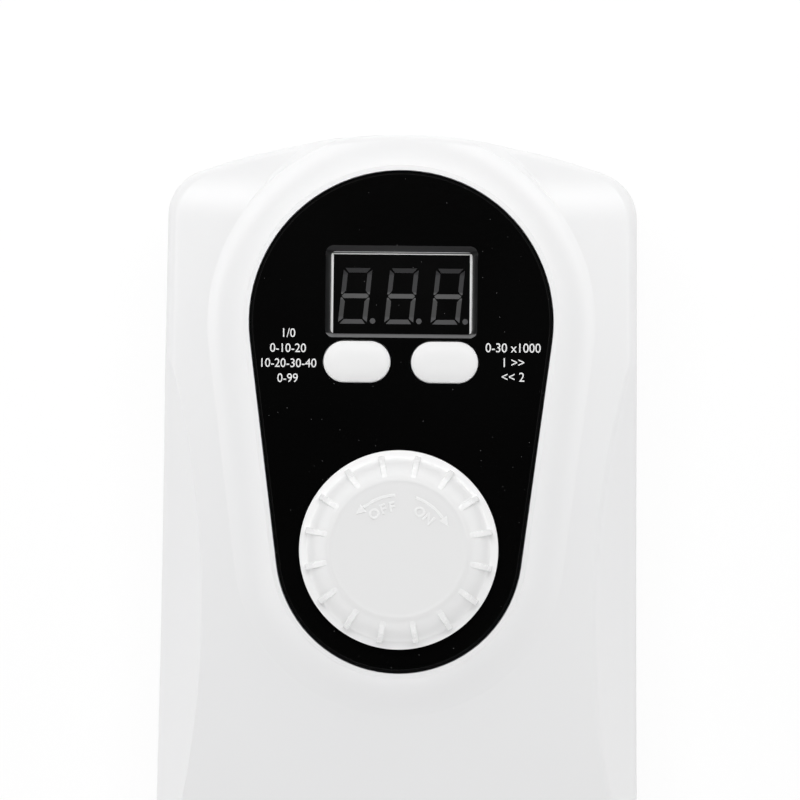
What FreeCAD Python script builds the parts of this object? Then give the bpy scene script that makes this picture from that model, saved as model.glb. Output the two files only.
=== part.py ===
# Control unit of a cordless nail drill: an assembly of separate pieces, in millimetres.
# It lies on its back. +Z comes out of the control face, +Y points to the display end,
# and the origin is the centre of the footprint, at the height of the table.

import FreeCAD, Part
import math
import os

from FreeCAD import Vector

# Housing, plan outline
LENGTH = 148.0
HALF_WIDTH_TOP = 38.8          # half width at the display end's shoulders
HALF_WIDTH_BOTTOM = 39.8       # half width at the socket end
TOP_ARC_R = 94.0               # bow of the display end
BOTTOM_ARC_R = 420.0           # slight bow of the socket end
CORNER_R_TOP = 8.5
CORNER_R_BOTTOM = 9.0

# Housing, heights
FOOT_HEIGHT = 1.0              # rubber feet lift the back this far off the table
PARTING_Z = 13.0
FACE_Z = 27.5
WALL = 2.0
FRONT_DRAFT = 0.55             # how far the front shell's walls lean in up to the face
BACK_DRAFT = 0.8
EDGE_R = 1.8                   # rounding where the face meets the walls
BACK_EDGE = 2.4                # chamfer round the back
ROLL_R = 24.0                  # the face rolls down to the display end on this radius
ROLL_WIDTH = 14.0

# Side scoops: long lens-shaped finger hollows in both edges of the face
SCOOP_Y = -5.7                 # middle of the scoop
SCOOP_HALF_WIDTH = 31.9        # from the centre line to the deepest crease
SCOOP_PLAN_R = 156.0           # bow of the crease in plan
SCOOP_SLOPE = 45.0             # degrees below level
SCOOP_EDGE_R = 1.2

# Control panel: the hull of two circles
PANEL_TOP_Y = 42.5
PANEL_TOP_R = 24.7
PANEL_BOTTOM_Y = 5.4           # also the knob's axis
PANEL_BOTTOM_R = 19.9
PANEL_Z = 29.5                 # polished face
PANEL_THICK = 2.2
PANEL_BEVEL = 0.55
PANEL_GAP = 0.12
PEG_HALF = 1.0                 # the locating pegs are square
PEG_LENGTH = 3.4
PEGS = [(-19.0, 44.0), (19.0, 44.0), (-15.0, 6.0), (15.0, 6.0)]

# Hood: the raised collar round the panel
HOOD_TOP_Z = 29.75
HOOD_RIM = 0.95                # width of the rim
HOOD_FOOT = 7.0                # from the panel's edge to the foot of the slope
HOOD_DISH = 0.5                # how far the slope sags below a straight line
HOOD_SINK = 2.4                # how far the flank still spreads below the foot
HOOD_FLANK_Z = 23.5            # lower end of the flank
HOOD_BOTTOM_Z = 20.0
HOOD_END_R = 1.4               # rounding where the collar runs out over the display end

# Display: a three-digit module, 0.36 inch digits
DISPLAY_Y = 47.4
MODULE_SIZE = (22.9, 14.0, 7.2)
MODULE_SHIFT = 0.4             # the module sits this far below the window's middle
MODULE_DROP = 2.25             # the module's face lies this far below the panel's face
FACE_BORDER = 0.3
FACE_DEPTH = 0.4
WINDOW_SIZE = (24.8, 15.05)    # at the panel's face
WINDOW_DRAFT = (0.85, 0.8)     # how far the sides and the ends lean in
WINDOW_R = 1.3
DIGIT_PITCH = 7.56
DIGIT_DROP = 0.14              # the digits' middle, below the module's
DIGIT_HEIGHT = 9.14
DIGIT_WIDTH = 4.7
DIGIT_SLANT = 5.6              # degrees
SEGMENT_WIDTH = 0.74
SEGMENT_GAP = 0.14
SEGMENT_RISE = 0.05
POINT_R = 0.48
POINT_X = 2.87                 # decimal point, right of its digit's middle

# Buttons
BUTTON_X = 7.12
BUTTON_Y = 35.9
BUTTON_SIZE = (10.9, 6.75)
BUTTON_PROUD = 1.0
BUTTON_TRAVEL = 0.5
BUTTON_EDGE = 0.6
BUTTON_GAP = 0.2
BUTTON_FLANGE = 0.45           # width of the retaining flange
BUTTON_FLANGE_THICK = 0.85
SWITCH_SIZE = 6.0
SWITCH_HEIGHT = 3.5
PLUNGER_R = 1.7
PLUNGER_FOOT = 1.7             # its lower end, above the board
PLUNGER_RISE = 0.8

# Knob
KNOB_R = 16.1
KNOB_FLANGE = 1.4
KNOB_HEIGHT = 6.2
KNOB_CLEAR = 0.5
KNOB_FACE_R = 11.3
KNOB_SHOULDER_R = 13.6
KNOB_SHOULDER_DROP = 2.0
KNOB_SKIRT_R = 15.0
KNOB_WALL = 1.4
KNOB_RIBS = 16
RIB_WIDTH = 1.0
RIB_START_R = 11.7
RIB_END_R = 15.35
RIB_RISE = 0.6                 # over the shoulder
RIB_END_RISE = 1.6             # over the flange
SHAFT_R = 3.0
RUNNING_GAP = 0.05
BOSS_R = 4.6

# Potentiometer
POT_R = 8.3
POT_DEPTH = 9.0
POT_SWITCH_DEPTH = 5.0
BUSHING_R = 3.5
BUSHING_LENGTH = 6.4
NUT_ACROSS = 10.0
NUT_THICK = 1.8

# Boards
BOARD_THICK = 1.6
MAIN_BOARD_HALF_X = 26.2
MAIN_BOARD_Y = (25.0, 63.0)
MAIN_POSTS = [(-23.0, 29.0), (23.0, 29.0), (-20.0, 59.5), (20.0, 59.5)]
BOARD_POST_HALF = 2.2
MAIN_HOOKS = [(-1, 44.0), (1, 44.0)]    # side and Y of the snap hooks
HOOK_WIDTH = 5.0
HOOK_THICK = 1.4
HOOK_NOSE = 0.9
POWER_BOARD_HALF_X = 26.5
POWER_BOARD_Y = (-70.2, -50.5)
POWER_POSTS = [(-23.0, -54.0), (23.0, -67.0)]
POWER_HOOKS = [(-1, -54.0), (1, -54.0)]

# Battery: two cylindrical lithium cells side by side
CELL_R = 9.15
CELL_LENGTH = 65.0
CELL_PITCH = 19.0
CELL_Y = -27.8                 # between the two cells
HOLDER_WALL = 1.3
HOLDER_FLOOR = 0.6
TAB_THICK = 0.25

# Sockets in the socket end
SOCKET_Z = 13.0
SOCKET_NOSE = 2.7              # how far the noses stand out of their blocks
HANDPIECE_X = -14.0
HANDPIECE_BORE_R = 1.8         # for a 3.5 mm plug
HANDPIECE_DEPTH = 14.0
HANDPIECE_NOSE_R = 3.3
CHARGE_X = 14.0
CHARGE_BORE_R = 3.2            # for a 5.5 mm barrel plug
CHARGE_DEPTH = 9.5
CHARGE_PIN_R = 1.0
CHARGE_NOSE_R = 4.6

# Belt clip and the bay it folds into
BAY_HALF_X = 13.2
BAY_Y = (-5.0, 52.0)
BAY_DEPTH = 6.8
BAY_WALL = 1.6
CLIP_HALF_X = 11.6
CLIP_Y = (-2.6, 50.0)
CLIP_THICK = 1.8
CLIP_SINK = 0.3                # the clip lies this far inside the back face
HINGE_Y = 39.5
HINGE_Z = 5.1
CLIP_PIN_R = 1.0
CLIP_LUG_R = 2.4
CLIP_LUG_WIDTH = 3.0
SPRING_R = 1.5
SPRING_WIRE = 0.55
SPRING_TURNS = 2.0
SPRING_LEG = 7.0

# Fasteners and feet
SCREW_POSTS = [(-31.5, -61.0), (31.5, -61.0)]
CATCH_X = 11.0                 # catches that hold the shells together at the display end
CATCH_Y = 68.6
CATCH_WIDTH = 6.0
CATCH_Z = 9.6
POST_R = 3.6
SCREW_R = 1.35
SCREW_HEAD_R = 2.7
SCREW_HEAD_THICK = 1.8
SCREW_SEAT_Z = 5.2
SCREW_LENGTH = 12.0
FOOT_R = 5.0
FEET = [(-29.0, 44.0), (29.0, 44.0), (-29.0, -47.0), (29.0, -47.0)]
LIP = 1.4                      # height of the tongue where the shells meet
SHADOW_GAP = 0.3

# Values that follow from the driving dimensions
TOP_Y = LENGTH / 2
BOTTOM_Y = -LENGTH / 2
BACK_Z = FOOT_HEIGHT
FLOOR_Z = PANEL_Z - PANEL_THICK
CEILING_Z = FLOOR_Z - WALL
MODULE_Z = PANEL_Z - MODULE_DROP
BOARD_TOP_Z = MODULE_Z - MODULE_SIZE[2]
BOARD_BOTTOM_Z = BOARD_TOP_Z - BOARD_THICK
PLUNGER_TOP_Z = BOARD_TOP_Z + SWITCH_HEIGHT + PLUNGER_RISE
KNOB_Z = PANEL_Z + KNOB_CLEAR
KNOB_TOP_Z = KNOB_Z + KNOB_HEIGHT
POWER_BOARD_TOP_Z = SOCKET_Z - 6.5
CELL_Z = BACK_Z + WALL + HOLDER_FLOOR + CELL_R
BAY_ROOF_Z = BACK_Z + BAY_DEPTH
CLIP_Z = BACK_Z + CLIP_SINK
MODULE_Y = DISPLAY_Y - MODULE_SHIFT
BUSHING_TOP_Z = CEILING_Z + BUSHING_LENGTH
SHAFT_BOTTOM_Z = CEILING_Z - POT_DEPTH + 3.0
SHAFT_TOP_Z = KNOB_TOP_Z - KNOB_WALL - 0.3
SOCKET_FACE_Y = BOTTOM_Y + 0.6
UP = Vector(0, 0, 1)


def box(x0, x1, y0, y1, z0, z1):
    return Part.makeBox(x1 - x0, y1 - y0, z1 - z0, Vector(x0, y0, z0))


def cylinder(radius, z0, z1, x=0.0, y=0.0):
    return Part.makeCylinder(radius, z1 - z0, Vector(x, y, z0))


def cylinder_along_x(radius, x0, x1, y, z):
    return Part.makeCylinder(radius, x1 - x0, Vector(x0, y, z), Vector(1, 0, 0))


def cylinder_along_y(radius, y0, y1, x, z):
    return Part.makeCylinder(radius, y1 - y0, Vector(x, y0, z), Vector(0, 1, 0))


def prism(points, z0, z1):
    """Upright prism over a closed polygon given as (x, y) pairs."""
    corners = [Vector(x, y, z0) for x, y in points]
    return Part.Face(Part.makePolygon(corners + corners[:1])).extrude(Vector(0, 0, z1 - z0))


def upright_edges(solid):
    return [e for e in solid.Edges
            if abs(e.Vertexes[0].X - e.Vertexes[-1].X) < 1e-6
            and abs(e.Vertexes[0].Y - e.Vertexes[-1].Y) < 1e-6
            and len(e.Vertexes) == 2]


def rounded_box(x0, x1, y0, y1, z0, z1, radius):
    solid = box(x0, x1, y0, y1, z0, z1)
    return solid.makeFillet(radius, upright_edges(solid))


def stadium_wire(length, width, x, y, z):
    r = width / 2
    s = length / 2 - r
    right = Part.Arc(Vector(x + s, y - r, z), Vector(x + s + r, y, z), Vector(x + s, y + r, z))
    left = Part.Arc(Vector(x - s, y + r, z), Vector(x - s - r, y, z), Vector(x - s, y - r, z))
    return Part.Wire([
        Part.makeLine(Vector(x - s, y - r, z), Vector(x + s, y - r, z)),
        right.toShape(),
        Part.makeLine(Vector(x + s, y + r, z), Vector(x - s, y + r, z)),
        left.toShape()])


def stadium(length, width, x, y, z0, z1):
    return Part.Face(stadium_wire(length, width, x, y, z0)).extrude(Vector(0, 0, z1 - z0))


def polygon_prism(sides, radius, z0, z1, x, y):
    turn = 2 * math.pi / sides
    corners = [(x + radius * math.cos(turn * k), y + radius * math.sin(turn * k)) for k in range(sides)]
    return prism(corners, z0, z1)


def pillar(half, z0, z1, x, y):
    """Square pillar centred on (x, y)."""
    return box(x - half, x + half, y - half, y + half, z0, z1)


def snap_hook(side, edge, y, root_z, seat_z):
    """Springy arm beside a board's edge; its nose grips the board's face at seat_z."""
    up = 1 if seat_z > root_z else -1
    tip = seat_z + up * 1.5
    arm = box(*sorted((side * (edge + 0.1), side * (edge + 0.1 + HOOK_THICK))),
              y - HOOK_WIDTH / 2, y + HOOK_WIDTH / 2, *sorted((root_z, tip)))
    corners = [(edge + 0.2, seat_z), (edge - HOOK_NOSE, seat_z), (edge - HOOK_NOSE, seat_z + up * 0.4),
               (edge + 0.2, tip)]
    points = [Vector(side * x, y - HOOK_WIDTH / 2, z) for x, z in corners]
    nose = Part.Face(Part.makePolygon(points + points[:1])).extrude(Vector(0, HOOK_WIDTH, 0))
    return arm.fuse(nose)


def plan_outline():
    """Plan outline of the housing: tapering sides between two bowed ends, corners rounded."""
    taper = (HALF_WIDTH_BOTTOM - HALF_WIDTH_TOP) / LENGTH
    reach = TOP_Y + 10
    low = HALF_WIDTH_BOTTOM + taper * (reach + BOTTOM_Y)
    high = HALF_WIDTH_TOP - taper * (reach - TOP_Y)
    slab = prism([(-low, -reach), (low, -reach), (high, reach), (-high, reach)], 0, 5)
    slab = slab.common(cylinder(TOP_ARC_R, 0, 5, 0, TOP_Y - TOP_ARC_R).fuse(
        box(-50, 50, -reach, 0, 0, 5)))
    slab = slab.common(cylinder(BOTTOM_ARC_R, 0, 5, 0, BOTTOM_Y + BOTTOM_ARC_R).fuse(
        box(-50, 50, 0, reach, 0, 5))).removeSplitter()
    edges = upright_edges(slab)
    slab = slab.makeFillet(CORNER_R_TOP, [e for e in edges if e.Vertexes[0].Y > TOP_Y - 20])
    edges = [e for e in upright_edges(slab) if e.Vertexes[0].Y < BOTTOM_Y + 5]
    slab = slab.makeFillet(CORNER_R_BOTTOM, edges)
    return [f for f in slab.Faces if f.normalAt(0, 0).z < -0.9][0].OuterWire


OUTLINE = plan_outline()


def outline_at(inset, z):
    wire = OUTLINE.makeOffset2D(-inset) if inset > 0 else OUTLINE.copy()
    wire.translate(Vector(0, 0, z))
    return wire


def leaning_block(inset0, z0, inset1, z1):
    """Solid between two insets of the outline, so that its walls have moulding draft."""
    return Part.makeLoft([outline_at(inset0, z0), outline_at(inset1, z1)], True, True)


def scoop_cutter(side, grow):
    """Round bar lying along the slope of a scoop; grow thickens it to leave a wall inside."""
    slope = math.radians(SCOOP_SLOPE)
    radius = SCOOP_PLAN_R / math.sin(slope)
    along = Vector(side * math.cos(slope), 0, -math.sin(slope))
    outward = Vector(side * math.sin(slope), 0, math.cos(slope))
    deepest = Vector(side * SCOOP_HALF_WIDTH, SCOOP_Y, FACE_Z)
    start = deepest + outward * radius - along * 30
    return Part.makeCylinder(radius + grow, 60, start, along)


def face_cap(inset):
    """Side profile of the front: level, rolling down on an arc at the display end."""
    z = FACE_Z - inset
    r = ROLL_R - inset
    top = TOP_Y - ROLL_WIDTH
    low = BOTTOM_Y - 5
    half = math.sqrt(0.5) * r
    roll = Part.Arc(Vector(0, top, z), Vector(0, top + half, z - r + half), Vector(0, top + r, z - r))
    edges = [
        Part.makeLine(Vector(0, low, z), Vector(0, top, z)),
        roll.toShape(),
        Part.makeLine(Vector(0, top + r, z - r), Vector(0, top + r, PARTING_Z - 4)),
        Part.makeLine(Vector(0, top + r, PARTING_Z - 4), Vector(0, low, PARTING_Z - 4)),
        Part.makeLine(Vector(0, low, PARTING_Z - 4), Vector(0, low, z))]
    profile = Part.Face(Part.Wire(edges))
    profile.translate(Vector(-50, 0, 0))
    return profile.extrude(Vector(100, 0, 0))


def front_form(inset):
    """Front of the housing without its collar; inset gives the hollow inside the wall."""
    lean = FRONT_DRAFT * (FACE_Z - inset - PARTING_Z) / (FACE_Z - PARTING_Z)
    solid = leaning_block(inset, PARTING_Z, inset + lean, FACE_Z - inset)
    solid = solid.common(face_cap(inset))
    if inset == 0:
        rim = [e for e in solid.Edges if e.BoundBox.ZMin > PARTING_Z + 3 and not crosses_face(e)]
        solid = solid.makeFillet(EDGE_R, rim)
    for side in (-1, 1):
        solid = solid.cut(scoop_cutter(side, inset))
    if inset == 0:
        solid = soften_scoops(solid)
    return solid


def crosses_face(edge):
    """True for the two seams that run across the face where the end rolls begin."""
    box_ = edge.BoundBox
    return box_.YLength < 1e-3 and box_.XLength > 20


def soften_scoops(solid):
    """Round the long crease where each scoop breaks into the face."""
    crease = [e for e in solid.Edges
              if e.BoundBox.YLength > 60 and e.BoundBox.ZMin > FACE_Z - 0.01]
    return solid.makeFillet(SCOOP_EDGE_R, crease)


def teardrop(offset, z):
    """Outline of the panel, offset outwards: two circles and their outer tangents."""
    span = PANEL_TOP_Y - PANEL_BOTTOM_Y
    lean = math.asin((PANEL_TOP_R - PANEL_BOTTOM_R) / span)
    top, low = PANEL_TOP_R + offset, PANEL_BOTTOM_R + offset
    across, down = math.cos(lean), -math.sin(lean)

    def on(radius, centre_y, side):
        return Vector(side * across * radius, centre_y + down * radius, z)

    crown = Part.Arc(on(top, PANEL_TOP_Y, 1), Vector(0, PANEL_TOP_Y + top, z), on(top, PANEL_TOP_Y, -1))
    lowest = Vector(0, PANEL_BOTTOM_Y - low, z)
    foot = Part.Arc(on(low, PANEL_BOTTOM_Y, -1), lowest, on(low, PANEL_BOTTOM_Y, 1))
    return Part.Wire([
        crown.toShape(),
        Part.makeLine(on(top, PANEL_TOP_Y, -1), on(low, PANEL_BOTTOM_Y, -1)),
        foot.toShape(),
        Part.makeLine(on(low, PANEL_BOTTOM_Y, 1), on(top, PANEL_TOP_Y, 1))])


def teardrop_prism(offset, z0, z1):
    return Part.Face(teardrop(offset, z0)).extrude(Vector(0, 0, z1 - z0))


def hood_profile():
    """Section of the collar in (offset, height): rim, concave slope, then the flank."""
    rim = Vector(HOOD_RIM, 0, HOOD_TOP_Z)
    foot = Vector(HOOD_FOOT, 0, FACE_Z)
    across = foot - rim
    middle = (rim + foot) / 2 + Vector(across.z, 0, -across.x) / across.Length * HOOD_DISH
    flank = Vector(HOOD_FOOT + HOOD_SINK, 0, HOOD_FLANK_Z)
    low = Vector(HOOD_FOOT + HOOD_SINK, 0, HOOD_BOTTOM_Z)
    inner_top, inner_low = Vector(-2, 0, HOOD_TOP_Z), Vector(-2, 0, HOOD_BOTTOM_Z)
    return Part.Wire([
        Part.makeLine(inner_top, rim),
        Part.Arc(rim, middle, foot).toShape(),
        Part.makeLine(foot, flank),
        Part.makeLine(flank, low),
        Part.makeLine(low, inner_low),
        Part.makeLine(inner_low, inner_top)])


def hood():
    """The profile carried round the panel: turned about both centres, drawn along both tangents."""
    span = PANEL_TOP_Y - PANEL_BOTTOM_Y
    lean = math.degrees(math.asin((PANEL_TOP_R - PANEL_BOTTOM_R) / span))
    run = math.sqrt(span ** 2 - (PANEL_TOP_R - PANEL_BOTTOM_R) ** 2)

    def section(centre_y, radius, angle):
        wire = hood_profile()
        wire.translate(Vector(radius, 0, 0))
        wire.rotate(Vector(0, 0, 0), UP, angle)
        wire.translate(Vector(0, centre_y, 0))
        return Part.Face(wire)

    crown = section(PANEL_TOP_Y, PANEL_TOP_R, -lean).revolve(Vector(0, PANEL_TOP_Y, 0), UP, 180 + 2 * lean)
    foot = section(PANEL_BOTTOM_Y, PANEL_BOTTOM_R, 180 + lean).revolve(
        Vector(0, PANEL_BOTTOM_Y, 0), UP, 180 - 2 * lean)
    tilt = math.radians(lean)
    right = section(PANEL_TOP_Y, PANEL_TOP_R, -lean).extrude(
        Vector(-math.sin(tilt) * run, -math.cos(tilt) * run, 0))
    left = section(PANEL_TOP_Y, PANEL_TOP_R, 180 + lean).extrude(
        Vector(math.sin(tilt) * run, -math.cos(tilt) * run, 0))
    ring = crown.fuse([foot, right, left]).removeSplitter()
    reach = HOOD_TOP_Z + 1
    lean = FRONT_DRAFT * (reach - PARTING_Z) / (FACE_Z - PARTING_Z)
    ring = ring.common(leaning_block(0, PARTING_Z, lean - 0.02, reach))
    lip = [e for e in ring.Edges if e.BoundBox.YMin > PANEL_TOP_Y + 20 and e.BoundBox.ZMin > FACE_Z - 1
           and e.BoundBox.YMax > TOP_Y - 1.5]
    return ring.makeFillet(HOOD_END_R, lip)


def display_hole(size, z0, z1):
    return box(-size[0] / 2, size[0] / 2, MODULE_Y - size[1] / 2, MODULE_Y + size[1] / 2, z0, z1)


def parting_tongue(low):
    """Ring under the front shell's rim that slides into the back shell's rebate."""
    return leaning_block(1.15, low, 1.15, PARTING_Z).cut(
        leaning_block(WALL + 0.1, low - 1, WALL + 0.1, PARTING_Z + 1))


def socket_cuts():
    """Round ways through the socket end for the two sockets' noses, half in each shell."""
    way_out = (BOTTOM_Y - 5, BOTTOM_Y + 6)
    return [cylinder_along_y(HANDPIECE_NOSE_R + 0.15, *way_out, HANDPIECE_X, SOCKET_Z),
            cylinder_along_y(CHARGE_NOSE_R + 0.15, *way_out, CHARGE_X, SOCKET_Z)]


def catch(side):
    """Arm at the display end whose nose snaps under the back shell's ledge."""
    x0, x1 = side * CATCH_X - CATCH_WIDTH / 2, side * CATCH_X + CATCH_WIDTH / 2
    arm = box(x0, x1, CATCH_Y - 1.7, CATCH_Y, CATCH_Z - 1.8, PARTING_Z + 5)
    nose = box(x0, x1, CATCH_Y - 0.1, CATCH_Y + 0.9, CATCH_Z - 1.5, CATCH_Z - 0.1)
    root = box(x0, x1, CATCH_Y - 1.7, CATCH_Y + 2.4, PARTING_Z + 1.5, PARTING_Z + 5)
    return arm.fuse([nose, root])


def ledge(side):
    """Step on the back shell's end wall that the catch holds on to."""
    x0, x1 = side * CATCH_X - CATCH_WIDTH / 2 - 1, side * CATCH_X + CATCH_WIDTH / 2 + 1
    return box(x0, x1, CATCH_Y + 0.3, CATCH_Y + 2.4, CATCH_Z, CATCH_Z + 1.4)


def front_shell():
    """Upper shell with its collar, panel recess, holes, screw posts, board posts, hooks and catches."""
    body = front_form(0).fuse(hood()).cut(front_form(WALL))
    body = body.fuse(parting_tongue(PARTING_Z - LIP))
    inside = front_form(0.6)
    posts = [cylinder(POST_R, PARTING_Z, FACE_Z, x, y) for x, y in SCREW_POSTS]
    posts += [pillar(BOARD_POST_HALF, BOARD_TOP_Z, CEILING_Z + 1, x, y) for x, y in MAIN_POSTS]
    posts += [snap_hook(side, MAIN_BOARD_HALF_X, y, CEILING_Z + 1, BOARD_BOTTOM_Z)
              for side, y in MAIN_HOOKS]
    posts += [catch(side) for side in (-1, 1)]
    body = body.fuse([p.common(inside) for p in posts[:-2]] + posts[-2:])
    body = body.cut(teardrop_prism(PANEL_GAP, FLOOR_Z, FACE_Z + 9))
    cuts = [display_hole([s + 0.1 for s in MODULE_SIZE[:2]], CEILING_Z - 6, FLOOR_Z + 1)]
    half_x, half_y = BUTTON_SIZE[0] / 2 + 0.15, BUTTON_SIZE[1] / 2 + 0.15
    for x in (-BUTTON_X, BUTTON_X):
        cuts.append(box(x - half_x, x + half_x, BUTTON_Y - half_y, BUTTON_Y + half_y,
                        CEILING_Z - 6, FLOOR_Z + 1))
    cuts.append(cylinder(BUSHING_R + 0.1, CEILING_Z - 1, FLOOR_Z + 1, 0, PANEL_BOTTOM_Y))
    cuts += [pillar(PEG_HALF + 0.1, CEILING_Z - 1, FLOOR_Z + 1, x, y) for x, y in PEGS]
    cuts += [cylinder(SCREW_R + 0.05, PARTING_Z - 2, SCREW_SEAT_Z + SCREW_LENGTH + 1, x, y)
             for x, y in SCREW_POSTS]
    return body.cut(cuts + socket_cuts()).removeSplitter()


def back_form(inset):
    """Back of the housing; inset gives the hollow inside the wall, plain at its floor."""
    low = BACK_Z + inset
    lean = BACK_DRAFT * (PARTING_Z - low) / (PARTING_Z - BACK_Z)
    solid = leaning_block(inset + lean, low, inset, PARTING_Z)
    if inset > 0:
        return solid
    base = [e for e in solid.Edges if e.BoundBox.ZMax < low + 0.01]
    return solid.makeChamfer(BACK_EDGE, base)


def bay_box(grow):
    """Space of the clip bay; grow turns it into the block that walls the bay off."""
    return rounded_box(-BAY_HALF_X - grow, BAY_HALF_X + grow, BAY_Y[0] - grow, BAY_Y[1] + grow,
                       BACK_Z - 1 if grow == 0 else BACK_Z + 0.5, BAY_ROOF_Z + grow, 2.0 + grow)


def back_shell():
    """Lower shell: tray with the clip bay, screw towers, board posts, hooks, ledges and rebate."""
    body = back_form(0).cut(back_form(WALL))
    body = body.fuse(bay_box(BAY_WALL)).cut(bay_box(0))
    inside = back_form(0.6)
    towers = [cylinder(POST_R, BACK_Z, PARTING_Z, x, y).common(inside) for x, y in SCREW_POSTS]
    board_low = POWER_BOARD_TOP_Z - BOARD_THICK
    pads = [pillar(BOARD_POST_HALF, BACK_Z + 1, board_low, x, y) for x, y in POWER_POSTS]
    pads += [snap_hook(side, POWER_BOARD_HALF_X, y, BACK_Z + 1, POWER_BOARD_TOP_Z)
             for side, y in POWER_HOOKS]
    body = body.fuse(towers + pads + [ledge(side) for side in (-1, 1)])
    rebate = leaning_block(1.0, PARTING_Z - LIP, 1.0, PARTING_Z + 1).cut(
        leaning_block(WALL + 0.3, PARTING_Z - LIP - 1, WALL + 0.3, PARTING_Z + 2))
    clear_posts = [cylinder(POST_R + 1.2, PARTING_Z - LIP - 1, PARTING_Z + 2, x, y) for x, y in SCREW_POSTS]
    shadow = leaning_block(0, PARTING_Z - SHADOW_GAP, 0, PARTING_Z + 1).cut(
        leaning_block(1.1, PARTING_Z - 1, 1.1, PARTING_Z + 2))
    cuts = [rebate.cut(clear_posts), shadow, cylinder_along_x(
        CLIP_PIN_R + 0.02, -BAY_HALF_X - 0.8, BAY_HALF_X + 0.8, HINGE_Y, HINGE_Z)]
    for x, y in SCREW_POSTS:
        cuts.append(cylinder(SCREW_R + 0.15, BACK_Z, PARTING_Z + 1, x, y))
        cuts.append(cylinder(SCREW_HEAD_R + 0.3, BACK_Z - 1, SCREW_SEAT_Z, x, y))
    return body.cut(cuts + socket_cuts()).removeSplitter()


def control_panel():
    """Polished plate with a bevelled edge, drafted display window, holes and locating pegs."""
    body = teardrop_prism(0, FLOOR_Z, PANEL_Z)
    rim = [e for e in body.Edges if e.BoundBox.ZMin > PANEL_Z - 0.01]
    body = body.makeChamfer(PANEL_BEVEL, rim)
    w, h = WINDOW_SIZE
    window = Part.makeLoft([
        rounded_rectangle(w - 2 * WINDOW_DRAFT[0], h - 2 * WINDOW_DRAFT[1], WINDOW_R - 0.6, DISPLAY_Y,
                          FLOOR_Z - 0.01),
        rounded_rectangle(w, h, WINDOW_R, DISPLAY_Y, PANEL_Z + 0.01)], True, True)
    cuts = [window, cylinder(BUSHING_R + 0.1, FLOOR_Z - 1, PANEL_Z + 1, 0, PANEL_BOTTOM_Y)]
    for side in (-1, 1):
        cuts.append(stadium(BUTTON_SIZE[0] + 2 * BUTTON_GAP, BUTTON_SIZE[1] + 2 * BUTTON_GAP,
                            side * BUTTON_X, BUTTON_Y, FLOOR_Z - 1, PANEL_Z + 1))
    pegs = [pillar(PEG_HALF, FLOOR_Z - PEG_LENGTH, FLOOR_Z + 0.5, x, y) for x, y in PEGS]
    return body.fuse(pegs).cut(cuts)


def rounded_rectangle(width, height, radius, y, z):
    solid = rounded_box(-width / 2, width / 2, y - height / 2, y + height / 2, z, z + 1, radius)
    return [f for f in solid.Faces if f.normalAt(0, 0).z < -0.9][0].OuterWire


def display_module():
    """White module body with a shallow tray for its dark face, and its row of pins."""
    w, h, _ = MODULE_SIZE
    body = display_hole(MODULE_SIZE, BOARD_TOP_Z, MODULE_Z)
    tray = display_hole((w - 2 * FACE_BORDER, h - 2 * FACE_BORDER), MODULE_Z - FACE_DEPTH, MODULE_Z + 1)
    return body.cut(tray)


def display_pins():
    """Two rows of six pins, where they stand out under the main board."""
    return Part.makeCompound([pillar(0.25, BOARD_BOTTOM_Z - 1.2, BOARD_BOTTOM_Z, x, y)
                              for x, y in pin_places()])


def display_face():
    w, h, _ = MODULE_SIZE
    gap = FACE_BORDER + 0.03
    return display_hole((w - 2 * gap, h - 2 * gap), MODULE_Z - FACE_DEPTH, MODULE_Z)


def segment_shapes():
    """Mitred bars of one digit, as (x, y) outlines about the digit's centre."""
    t, g = SEGMENT_WIDTH, SEGMENT_GAP
    w, h = DIGIT_WIDTH / 2, DIGIT_HEIGHT / 2
    end = w - t / 2 - g
    bars = [[(g - w, 0), (-end, t / 2), (end, t / 2), (w - g, 0), (end, -t / 2), (-end, -t / 2)]]
    for up in (-1, 1):
        bars.append([(2 * g - w, up * h), (w - 2 * g, up * h),
                     (w - t - g, up * (h - t)), (t + g - w, up * (h - t))])
        for side in (-1, 1):
            bars.append([(side * w, up * 2 * g), (side * w, up * (h - 2 * g)),
                         (side * (w - t), up * (h - t - g)), (side * (w - t), up * (t + g)),
                         (side * (w - t / 3), up * 2 * g)])
    return bars


def display_segments():
    """Light bars and decimal points of three slanted digits, a hair proud of the dark face."""
    slant = math.tan(math.radians(DIGIT_SLANT))
    top = MODULE_Z + SEGMENT_RISE
    y = MODULE_Y - DIGIT_DROP
    solids = []
    for digit in (-1, 0, 1):
        cx = digit * DIGIT_PITCH
        for bar in segment_shapes():
            solids.append(prism([(cx + u + slant * v, y + v) for u, v in bar], MODULE_Z, top))
        solids.append(polygon_prism(8, POINT_R, MODULE_Z, top, cx + POINT_X,
                                    y - DIGIT_HEIGHT / 2 + POINT_R))
    return Part.makeCompound(solids)


def button(side):
    """Stadium cap with a bevelled edge, and the flange under the panel that keeps it in."""
    x = side * BUTTON_X
    top = PANEL_Z + BUTTON_PROUD
    steps = [(0, PLUNGER_TOP_Z), (0, top - BUTTON_EDGE), (BUTTON_EDGE, top)]
    rings = [stadium_wire(BUTTON_SIZE[0] - 2 * inset, BUTTON_SIZE[1] - 2 * inset, x, BUTTON_Y, z)
             for inset, z in steps]
    cap = Part.makeLoft(rings, True, True)
    half_x, half_y = BUTTON_SIZE[0] / 2 + BUTTON_FLANGE, BUTTON_SIZE[1] / 2 + BUTTON_FLANGE
    flange = box(x - half_x, x + half_x, BUTTON_Y - half_y, BUTTON_Y + half_y, PLUNGER_TOP_Z,
                 PLUNGER_TOP_Z + BUTTON_FLANGE_THICK)
    return cap.fuse(flange)


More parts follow.
